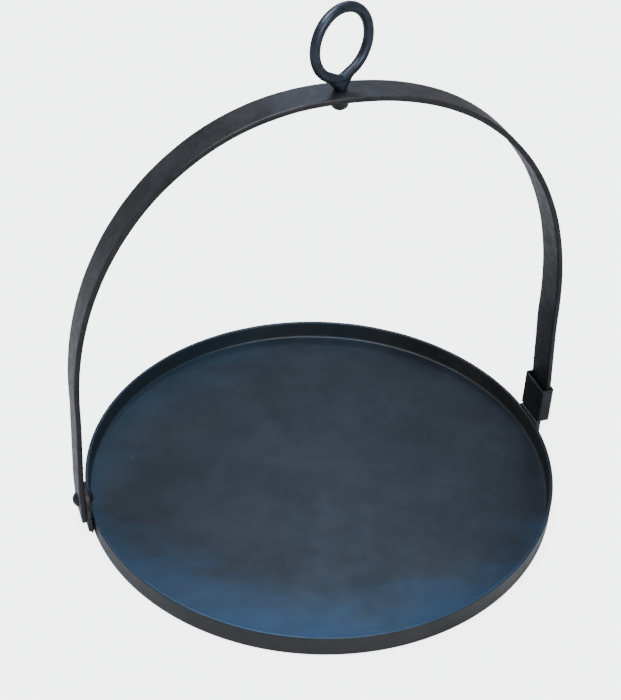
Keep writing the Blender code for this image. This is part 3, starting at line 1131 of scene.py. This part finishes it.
@dataclass
class HangingRing:
    """The ring, the web and neck it stands on, and the rivet that it turns with."""

    finishes: Finishes
    centre: Vector
    turn: float = math.radians(22.7)
    bar: float = 3.4 * MM
    shank: float = 2.8 * MM
    head: float = 5.8 * MM
    head_rise: float = 9.4 * MM
    dome_rise: float = 3.6 * MM
    neck: float = 4.4 * MM
    flare: float = 10.5 * MM
    thinning: float = 0.34
    crotch: float = 1.8 * MM
    crotch_reach: float = 7.0 * MM
    crotch_sharpness: float = 1.3
    crotch_depth: float = 0.3
    edge: float = 0.6 * MM
    dents: float = 0.16 * MM
    rivet_dents: float = 0.20 * MM
    voxel: float = 0.34 * MM

    def __post_init__(self) -> None:
        """Reads the ring's size from the frame."""
        self.low, self.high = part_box("hanging_ring")
        self.radius = self.high.z - self.centre.z - self.bar

    def torus(self) -> Mesh:
        """The bar bent to a circle, upright, in the XZ plane about the origin."""
        bm = bmesh.new()
        section = bmesh.ops.create_circle(bm, cap_ends=False, radius=self.bar, segments=28)["verts"]
        bmesh.ops.translate(bm, verts=section, vec=(self.radius, 0, 0))
        bmesh.ops.spin(
            bm, geom=section + list(bm.edges), cent=(0, 0, 0), axis=(0, 1, 0), angle=FULL_TURN, steps=144,
            use_merge=True,
        )
        bmesh.ops.remove_doubles(bm, verts=bm.verts, dist=1e-7)
        bmesh.ops.recalc_face_normals(bm, faces=bm.faces)
        return bm

    def part_in_a_point(self, bm: Mesh) -> None:
        """Draws the inside of the ring's foot down to a point, where the two ends of its bar meet."""
        for vert in bm.verts:
            nearness = 1 - abs(vert.co.x) / self.crotch_reach
            inside = (self.radius - math.hypot(vert.co.x, vert.co.z)) / self.bar
            share = min(1.0, inside + self.crotch_depth)
            if nearness > 0 and vert.co.z < 0 < share:
                vert.co.z -= self.crotch * nearness ** self.crotch_sharpness * share

    def web(self) -> Mesh:
        """The wedge between the ring's foot and its neck, wide in the ring's plane."""
        foot, top = self.low.z - self.centre.z, -self.radius
        meets = -math.sqrt((self.radius + self.bar) ** 2 - self.flare ** 2)
        profile = [(0, top), (0.9 * self.flare, top), (self.flare, meets), (self.neck, foot + 1.0 * MM)]
        profile += [(self.neck, foot + 0.4 * MM), (self.neck - 0.4 * MM, foot), (0, foot)]
        bm = lathe(profile, 48)
        for vert in bm.verts:
            flared = max(0.0, vert.co.xy.length - self.neck) / (self.flare - self.neck)
            vert.co.y *= 1 - (1 - self.thinning) * flared
        return bm

    def build(self) -> None:
        """Builds the ring with its neck as one skin, then the rivet beneath it."""
        ring = self.torus()
        self.part_in_a_point(ring)
        bm = combined(ring, self.web(), "UNION", self.voxel)
        foot = self.low.z - self.centre.z
        web_low, web_high = foot + 1.2 * MM, -self.radius + 6 * MM
        soften(bm, [v for v in bm.verts if web_low < v.co.z < web_high], 14)
        soften(bm, bm.verts, 3)
        ripple(bm, self.dents, 0.009, 6.0)
        place = Matrix.Translation(self.centre) @ Matrix.Rotation(self.turn, 4, "Z")
        bmesh.ops.transform(bm, matrix=place, verts=bm.verts)
        ring_steel = self.finishes.ring
        Piece("ring_and_neck", bm, Body.RING, Slot.RING, ring_steel, ("hanging_ring",), 80.0).place()
        self.build_rivet()

    def build_rivet(self) -> None:
        """Builds the swivel rivet: a round head under the crown, its shank up into the neck."""
        low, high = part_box("swivel_rivet")
        under = low.z + self.head_rise
        sphere, start = dome(self.head, self.dome_rise)
        rounded = arc((0, self.head_rise - sphere), sphere, start + EASE_ANGLE, 90, 16)
        profile = [(0, high.z), (self.shank, high.z), (self.shank, under)]
        profile += [(self.head - self.edge, under), (self.head, under - self.edge)]
        profile += [(self.head, under - 0.3 * self.head_rise)]
        profile += [(r, under - z) for r, z in rounded]
        bm = lathe(profile, 56)
        ripple(bm, self.rivet_dents, 0.004, 15.0)
        bmesh.ops.translate(bm, verts=bm.verts, vec=(self.centre.x, 0, 0))
        Piece("swivel_stud", bm, Body.RING, Slot.RIVET, self.finishes.bar, ("swivel_rivet",)).place()


# --- Studio ---


@dataclass(frozen=True)
class SoftLight:
    """A large soft lamp."""

    name: str
    at: Triple
    size: float
    power: float
    colour: Colour = (1.0, 1.0, 1.0)
    aim: Triple = (0.0, 0.0, 0.1)

    def place(self) -> None:
        """Adds the lamp to the scene."""
        lamp = bpy.data.lights.new(self.name, "AREA")
        lamp.shape = "DISK"
        lamp.size = self.size
        lamp.energy = self.power
        lamp.color = self.colour
        made = bpy.data.objects.new(self.name, lamp)
        made.location = self.at
        aim = Vector(self.aim) - Vector(self.at)
        made.rotation_euler = aim.to_track_quat("-Z", "Y").to_euler()
        bpy.context.scene.collection.objects.link(made)


@dataclass(frozen=True)
class Studio:
    """The floor, the light and the camera."""

    camera_at: Triple = (-0.2551, -0.6677, 0.6585)
    camera_right: Triple = (0.94458, -0.32736, 0.02436)
    camera_up: Triple = (0.17919, 0.57635, 0.79731)
    lens: float = 65.17
    floor_radius: float = 3.0
    paleness: float = 4.0
    surround: float = 0.40
    floor_gap: float = 0.5 * MM

    def seen_strength(self, tree: Tree, unseen: float) -> Socket:
        """A light's strength: bright where the camera sees it directly, and dimmer as lighting.

        Args:
            tree: The node tree to add it to.
            unseen: The strength that lights the griddle.

        Returns:
            The strength's socket.
        """
        nodes = NodeBuilder(tree)
        seen = nodes.add("LightPath").outputs["Is Camera Ray"]
        return nodes.add("MapRange", {"Value": seen, "To Min": unseen, "To Max": self.paleness}).outputs[0]

    def floor(self) -> None:
        """A plain pale floor just under the griddle."""
        bm = bmesh.new()
        bmesh.ops.create_circle(bm, cap_ends=True, radius=self.floor_radius, segments=96)
        bmesh.ops.translate(bm, verts=bm.verts, vec=(0, 0, -self.floor_gap))
        made = in_scene("floor", bm)
        material = bpy.data.materials.new("pale_floor")
        material.use_nodes = True
        shader = material.node_tree.nodes["Principled BSDF"]
        shader.inputs["Base Color"].default_value = (0.50, 0.50, 0.50, 1)
        shader.inputs["Roughness"].default_value = 0.9
        shader.inputs["Specular IOR Level"].default_value = 0.1
        shader.inputs["Emission Color"].default_value = (1, 1, 1, 1)
        glow = self.seen_strength(material.node_tree, 0.0)
        material.node_tree.links.new(glow, shader.inputs["Emission Strength"])
        made.data.materials.append(material)

    def sky(self) -> None:
        """An even, pale surround."""
        world = bpy.data.worlds.new("soft_surround")
        world.use_nodes = True
        ground = world.node_tree.nodes["Background"]
        ground.inputs["Color"].default_value = (0.95, 0.97, 1.0, 1)
        strength = self.seen_strength(world.node_tree, self.surround)
        world.node_tree.links.new(strength, ground.inputs["Strength"])
        bpy.context.scene.world = world

    def camera(self) -> None:
        """The camera, with no shift and no depth of field."""
        data = bpy.data.cameras.new("camera")
        data.lens = self.lens
        data.sensor_width = 36.0
        made = bpy.data.objects.new("camera", data)
        right, up = Vector(self.camera_right), Vector(self.camera_up)
        turn = Matrix((right, up, right.cross(up))).transposed().to_4x4()
        made.matrix_world = Matrix.Translation(self.camera_at) @ turn
        bpy.context.scene.collection.objects.link(made)
        bpy.context.scene.camera = made

    def build(self) -> None:
        """Sets up the studio."""
        self.floor()
        self.sky()
        self.camera()
        for lamp in (
            SoftLight("top", (-0.35, 0.0, 1.9), 1.3, 52.0, (0.80, 0.90, 1.0)),
            SoftLight("front", (0.25, -1.9, 1.3), 1.4, 36.0),
            SoftLight("blue_back", (0.35, 0.85, 1.25), 0.6, 5.0, (0.55, 0.75, 1.0)),
        ):
            lamp.place()


def build_griddle(frame: dict) -> None:
    """Builds every sub-assembly in order.
    """
    hinges = {joint["name"]: Vector(joint["pos_m"]) for joint in frame["joints"] if joint.get("pos_m")}
    pivot, swivel = hinges["bail_fold"], hinges["ring_swivel"]
    pan_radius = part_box("griddle_pan")[1].x
    finishes = Finishes.make(pan_radius)
    rivet_hole, swivel_hole = 3.1 * MM, 2.9 * MM
    GriddlePan(finishes).build()
    shoulder = (2.5 * MM, 17.6 * MM)
    RimTab(finishes, "left_pivot_lug", "left_lug_plate", pivot, rivet_hole).build()
    RimTab(finishes, "right_lock_tab", "right_tab_plate", pivot, rivet_hole, shoulder).build()
    for tab, side in (("left_lug", Side.LEFT), ("right_tab", Side.RIGHT)):
        for end, towards in (("front", -1), ("back", 1)):
            WeldBead(finishes, f"{tab}_weld_{end}", side, towards).build()
    strap_low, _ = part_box("bail_strap")
    lug_low, lug_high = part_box("left_pivot_lug")
    gap = 0.3 * MM
    PivotRivet(finishes, pivot, -lug_high.x - gap, -strap_low.x + gap).build()
    Bail(finishes, pivot, rivet_hole, swivel_hole, swivel.x).build()
    LockingCollar(finishes).build()
    HangingRing(finishes, swivel).build()
    frame["nodes"]["right_pivot_rivet"].data.materials.clear()
    frame["nodes"]["right_pivot_rivet"].data.materials.append(finishes.rivet)


def main() -> None:
    """Loads the frame, builds the griddle around it and lights it."""
    logging.basicConfig(level=logging.INFO, format="%(name)s %(message)s")
    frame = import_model()
    build_griddle(frame)
    Studio().build()


if __name__ == "__main__":
    main()
